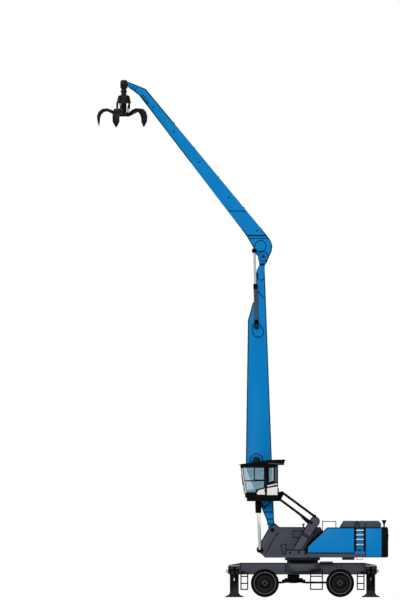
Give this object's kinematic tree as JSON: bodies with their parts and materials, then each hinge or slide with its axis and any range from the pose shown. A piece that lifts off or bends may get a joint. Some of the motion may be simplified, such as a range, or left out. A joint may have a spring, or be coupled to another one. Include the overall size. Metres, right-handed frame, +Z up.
{
  "type": "wheeled material handler",
  "caption": "Wheeled material handler with upright boom, folding stick, rotating tined grab, raised cab on parallel arms, slewing upper carriage, steered twin wheels and swing-out outriggers.",
  "frame": {"origin": "middle of the bounding box at ground level", "axes": "+Z up, the machine faces -X, its left side is -Y"},
  "size_m": [14.57, 5.4, 25.866],
  "materials": {
    "blue_paint": "gloss",
    "grey_paint": "satin",
    "black_paint": "satin",
    "hood_grey": "satin",
    "chrome_rod": "polished",
    "tyre_rubber": "matte",
    "rim_paint": "satin",
    "clear_glass": "gloss",
    "ballast": "painted",
    "engine_alloy": "cast",
    "rail_steel": "satin",
    "seat_cloth": "woven",
    "door_paint": "satin"
  },
  "bodies": {
    "chassis": {"chassis": "grey_paint", "front_axle": "black_paint", "rear_axle": "black_paint", "driveline": "black_paint", "chassis_ladders": "black_paint", "slew_ring": "black_paint"},
    "upper": {"upper_frame": "grey_paint", "engine_house": "blue_paint", "engine_hood": "hood_grey", "counterweight": "ballast", "engine": "engine_alloy", "cab_riser": "grey_paint", "handrails": "rail_steel"},
    "boom": {"boom": "blue_paint"},
    "boom_barrels": {"boom_cylinder_barrels": "black_paint"},
    "boom_rods": {"boom_cylinder_rods": "chrome_rod"},
    "stick": {"stick": "blue_paint"},
    "stick_barrels": {"stick_cylinder_barrels": "black_paint"},
    "stick_rods": {"stick_cylinder_rods": "chrome_rod"},
    "cab_lower_arm": {"cab_lower_arm": "black_paint"},
    "cab_upper_arm": {"cab_upper_arm": "black_paint"},
    "cab_lift_barrel": {"cab_lift_barrel": "black_paint"},
    "cab_lift_rod": {"cab_lift_rod": "chrome_rod"},
    "cab": {"cab_shell": "door_paint", "cab_roof": "door_paint", "cab_glass": "clear_glass", "operator_seat": "seat_cloth"},
    "cab_door": {"cab_door": "door_paint", "cab_door_glass": "clear_glass"},
    "grab_pin": {"grab_pin": "rail_steel"},
    "grab_link": {"grab_link": "black_paint"},
    "grab_head": {"grab_head": "black_paint"},
    "grab_rods": {"grab_rods": "chrome_rod"},
    "knuckle_left": {"knuckle_left": "black_paint"},
    "knuckle_right": {"knuckle_right": "black_paint"},
    "wheels_front_left": {"tyres_front_left": "tyre_rubber", "rims_front_left": "rim_paint"},
    "wheels_rear_left": {"tyres_rear_left": "tyre_rubber", "rims_rear_left": "rim_paint"},
    "wheels_front_right": {"tyres_front_right": "tyre_rubber", "rims_front_right": "rim_paint"},
    "wheels_rear_right": {"tyres_rear_right": "tyre_rubber", "rims_rear_right": "rim_paint"},
    "front_left_leg": {"front_left_leg": "black_paint"},
    "front_left_leg_barrel": {"front_left_leg_barrel": "black_paint"},
    "front_left_leg_rod": {"front_left_leg_rod": "chrome_rod"},
    "front_right_leg": {"front_right_leg": "black_paint"},
    "front_right_leg_barrel": {"front_right_leg_barrel": "black_paint"},
    "front_right_leg_rod": {"front_right_leg_rod": "chrome_rod"},
    "rear_left_leg": {"rear_left_leg": "black_paint"},
    "rear_left_leg_barrel": {"rear_left_leg_barrel": "black_paint"},
    "rear_left_leg_rod": {"rear_left_leg_rod": "chrome_rod"},
    "rear_right_leg": {"rear_right_leg": "black_paint"},
    "rear_right_leg_barrel": {"rear_right_leg_barrel": "black_paint"},
    "rear_right_leg_rod": {"rear_right_leg_rod": "chrome_rod"},
    "tine_1": {"tine_1": "black_paint"},
    "tine_2": {"tine_2": "black_paint"},
    "tine_3": {"tine_3": "black_paint"},
    "tine_4": {"tine_4": "black_paint"},
    "tine_5": {"tine_5": "black_paint"}
  },
  "joints": [
    {"name": "steer_left", "type": "hinge", "parent": "chassis", "child": "knuckle_left", "pos_m": [1.115, -1.05, 0.705], "axis": [0, 0, 1], "range_deg": [-25, 25]},
    {"name": "spin_front_left", "type": "hinge", "parent": "knuckle_left", "child": "wheels_front_left", "pos_m": [1.115, -1.35, 0.705], "axis": [0, 1, 0], "continuous": true},
    {"name": "spin_rear_left", "type": "hinge", "parent": "chassis", "child": "wheels_rear_left", "pos_m": [4.875, -1.35, 0.705], "axis": [0, 1, 0], "continuous": true},
    {"name": "steer_right", "type": "hinge", "parent": "chassis", "child": "knuckle_right", "pos_m": [1.115, 1.05, 0.705], "axis": [0, 0, 1], "range_deg": [-25, 25]},
    {"name": "spin_front_right", "type": "hinge", "parent": "knuckle_right", "child": "wheels_front_right", "pos_m": [1.115, 1.35, 0.705], "axis": [0, 1, 0], "continuous": true},
    {"name": "spin_rear_right", "type": "hinge", "parent": "chassis", "child": "wheels_rear_right", "pos_m": [4.875, 1.35, 0.705], "axis": [0, 1, 0], "continuous": true},
    {"name": "front_left_leg_swing", "type": "hinge", "parent": "chassis", "child": "front_left_leg", "pos_m": [-0.415, -0.48, 1.235], "axis": [-1, 0, 0], "range_deg": [0, 36]},
    {"name": "front_left_leg_barrel_tilt", "type": "hinge", "parent": "chassis", "child": "front_left_leg_barrel", "pos_m": [-0.415, -0.52, 1.45], "axis": [-1, 0, 0], "range_deg": [-1, 37.02]},
    {"name": "front_left_leg_rod_slide", "type": "slide", "parent": "front_left_leg_barrel", "child": "front_left_leg_rod", "axis": [0, -0.8803, -0.4745], "range_m": [-0.1392, 0.002]},
    {"name": "front_right_leg_swing", "type": "hinge", "parent": "chassis", "child": "front_right_leg", "pos_m": [-0.415, 0.48, 1.235], "axis": [1, 0, 0], "range_deg": [0, 36]},
    {"name": "front_right_leg_barrel_tilt", "type": "hinge", "parent": "chassis", "child": "front_right_leg_barrel", "pos_m": [-0.415, 0.52, 1.45], "axis": [1, 0, 0], "range_deg": [-1, 37.02]},
    {"name": "front_right_leg_rod_slide", "type": "slide", "parent": "front_right_leg_barrel", "child": "front_right_leg_rod", "axis": [0, 0.8803, -0.4745], "range_m": [-0.1392, 0.002]},
    {"name": "rear_left_leg_swing", "type": "hinge", "parent": "chassis", "child": "rear_left_leg", "pos_m": [6.405, -0.48, 1.235], "axis": [-1, 0, 0], "range_deg": [0, 36]},
    {"name": "rear_left_leg_barrel_tilt", "type": "hinge", "parent": "chassis", "child": "rear_left_leg_barrel", "pos_m": [6.405, -0.52, 1.45], "axis": [-1, 0, 0], "range_deg": [-1, 37.02]},
    {"name": "rear_left_leg_rod_slide", "type": "slide", "parent": "rear_left_leg_barrel", "child": "rear_left_leg_rod", "axis": [0, -0.8803, -0.4745], "range_m": [-0.1392, 0.002]},
    {"name": "rear_right_leg_swing", "type": "hinge", "parent": "chassis", "child": "rear_right_leg", "pos_m": [6.405, 0.48, 1.235], "axis": [1, 0, 0], "range_deg": [0, 36]},
    {"name": "rear_right_leg_barrel_tilt", "type": "hinge", "parent": "chassis", "child": "rear_right_leg_barrel", "pos_m": [6.405, 0.52, 1.45], "axis": [1, 0, 0], "range_deg": [-1, 37.02]},
    {"name": "rear_right_leg_rod_slide", "type": "slide", "parent": "rear_right_leg_barrel", "child": "rear_right_leg_rod", "axis": [0, 0.8803, -0.4745], "range_m": [-0.1392, 0.002]},
    {"name": "slew", "type": "hinge", "parent": "chassis", "child": "upper", "pos_m": [2.995, 0, 1.845], "axis": [0, 0, 1], "continuous": true},
    {"name": "boom_lift", "type": "hinge", "parent": "upper", "child": "boom", "pos_m": [1.48, 0, 3.37], "axis": [0, 1, 0], "range_deg": [-70, 0]},
    {"name": "boom_barrel_tilt", "type": "hinge", "parent": "boom", "child": "boom_barrels", "pos_m": [0.695, 0, 6.86], "axis": [0, 1, 0], "range_deg": [-1, 8.64]},
    {"name": "boom_rod_slide", "type": "slide", "parent": "boom_barrels", "child": "boom_rods", "axis": [0.0368, 0, -0.9993], "range_m": [-1.23, 0.005]},
    {"name": "stick_fold", "type": "hinge", "parent": "boom", "child": "stick", "pos_m": [1.03, 0, 17.035], "axis": [0, -1, 0], "range_deg": [0, 105]},
    {"name": "stick_barrel_tilt", "type": "hinge", "parent": "boom", "child": "stick_barrels", "pos_m": [0.69, 0, 13.54], "axis": [0, -1, 0], "range_deg": [-4.93, 1]},
    {"name": "stick_rod_slide", "type": "slide", "parent": "stick_barrels", "child": "stick_rods", "axis": [-0.0264, 0, 0.9997], "range_m": [-0.796, 0.005]},
    {"name": "cab_lift", "type": "hinge", "parent": "upper", "child": "cab_lower_arm", "pos_m": [3.43, -1.26, 3.73], "axis": [0, 1, 0], "range_deg": [-66, 0]},
    {"name": "cab_upper_arm_tilt", "type": "hinge", "parent": "upper", "child": "cab_upper_arm", "pos_m": [3.6, -1.26, 4.04], "axis": [0, 1, 0], "range_deg": [-67, 1]},
    {"name": "cab_level", "type": "hinge", "parent": "cab_lower_arm", "child": "cab", "pos_m": [1.835, -1.26, 4.91], "axis": [0, 1, 0], "range_deg": [-1, 67]},
    {"name": "cab_barrel_tilt", "type": "hinge", "parent": "upper", "child": "cab_lift_barrel", "pos_m": [3.515, -1.26, 3.48], "axis": [0, 1, 0], "range_deg": [-58.23, 1]},
    {"name": "cab_rod_slide", "type": "slide", "parent": "cab_lift_barrel", "child": "cab_lift_rod", "axis": [-0.721, 0, 0.6929], "range_m": [-0.2441, 0.002]},
    {"name": "cab_door_swing", "type": "hinge", "parent": "cab", "child": "cab_door", "pos_m": [1.145, -1.826, 5.82], "axis": [0, 0, 1], "range_deg": [0, 150]},
    {"name": "grab_pin_level", "type": "hinge", "parent": "stick", "child": "grab_pin", "pos_m": [-5.93, 0, 25.685], "axis": [0, 1, 0], "range_deg": [-1, 106]},
    {"name": "grab_link_level", "type": "hinge", "parent": "grab_pin", "child": "grab_link", "pos_m": [-5.93, 0, 25.685], "axis": [0, -1, 0], "range_deg": [-71, 1]},
    {"name": "grab_rotate", "type": "hinge", "parent": "grab_link", "child": "grab_head", "pos_m": [-5.94, 0, 25.112], "axis": [0, 0, 1], "continuous": true},
    {"name": "tine_1_close", "type": "hinge", "parent": "grab_head", "child": "tine_1", "pos_m": [-6.39, 0, 24.18], "axis": [0, -1, 0], "range_deg": [0, 70]},
    {"name": "tine_2_close", "type": "hinge", "parent": "grab_head", "child": "tine_2", "pos_m": [-6.07906, -0.42797, 24.18], "axis": [0.9511, -0.309, 0], "range_deg": [-1, 71]},
    {"name": "tine_3_close", "type": "hinge", "parent": "grab_head", "child": "tine_3", "pos_m": [-5.57594, -0.2645, 24.18], "axis": [0.5878, 0.809, 0], "range_deg": [-1, 71]},
    {"name": "tine_4_close", "type": "hinge", "parent": "grab_head", "child": "tine_4", "pos_m": [-5.57594, 0.2645, 24.18], "axis": [-0.5878, 0.809, 0], "range_deg": [-1, 71]},
    {"name": "tine_5_close", "type": "hinge", "parent": "grab_head", "child": "tine_5", "pos_m": [-6.07906, 0.42797, 24.18], "axis": [-0.9511, -0.309, 0], "range_deg": [-1, 71]},
    {"name": "grab_rod_slide", "type": "slide", "parent": "grab_head", "child": "grab_rods", "axis": [0, 0, 1], "range_m": [-0.002, 0.062]}
  ],
  "couplings": [
    {"joint": "steer_right", "follows": "steer_left", "ratio": 1},
    {"joint": "front_left_leg_barrel_tilt", "follows": "front_left_leg_swing", "ratio": 1.0006},
    {"joint": "front_left_leg_rod_slide", "follows": "front_left_leg_swing", "m_per_rad": -0.21511},
    {"joint": "front_right_leg_barrel_tilt", "follows": "front_right_leg_swing", "ratio": 1.0006},
    {"joint": "front_right_leg_rod_slide", "follows": "front_right_leg_swing", "m_per_rad": -0.21511},
    {"joint": "rear_left_leg_barrel_tilt", "follows": "rear_left_leg_swing", "ratio": 1.0006},
    {"joint": "rear_left_leg_rod_slide", "follows": "rear_left_leg_swing", "m_per_rad": -0.21511},
    {"joint": "rear_right_leg_barrel_tilt", "follows": "rear_right_leg_swing", "ratio": 1.0006},
    {"joint": "rear_right_leg_rod_slide", "follows": "rear_right_leg_swing", "m_per_rad": -0.21511},
    {"joint": "boom_barrel_tilt", "follows": "boom_lift", "ratio": -0.12097},
    {"joint": "boom_rod_slide", "follows": "boom_lift", "m_per_rad": 0.99876},
    {"joint": "stick_barrel_tilt", "follows": "stick_fold", "ratio": -0.046037},
    {"joint": "stick_rod_slide", "follows": "stick_fold", "m_per_rad": -0.42909},
    {"joint": "cab_upper_arm_tilt", "follows": "cab_lift", "ratio": 1},
    {"joint": "cab_level", "follows": "cab_lift", "ratio": -1},
    {"joint": "cab_barrel_tilt", "follows": "cab_lift", "ratio": 0.86711},
    {"joint": "cab_rod_slide", "follows": "cab_lift", "m_per_rad": 0.20756},
    {"joint": "grab_pin_level", "follows": "stick_fold", "ratio": 1},
    {"joint": "grab_link_level", "follows": "boom_lift", "ratio": 1},
    {"joint": "tine_2_close", "follows": "tine_1_close", "ratio": 1},
    {"joint": "tine_3_close", "follows": "tine_1_close", "ratio": 1},
    {"joint": "tine_4_close", "follows": "tine_1_close", "ratio": 1},
    {"joint": "tine_5_close", "follows": "tine_1_close", "ratio": 1},
    {"joint": "grab_rod_slide", "follows": "tine_1_close", "m_per_rad": 0.049111}
  ]
}
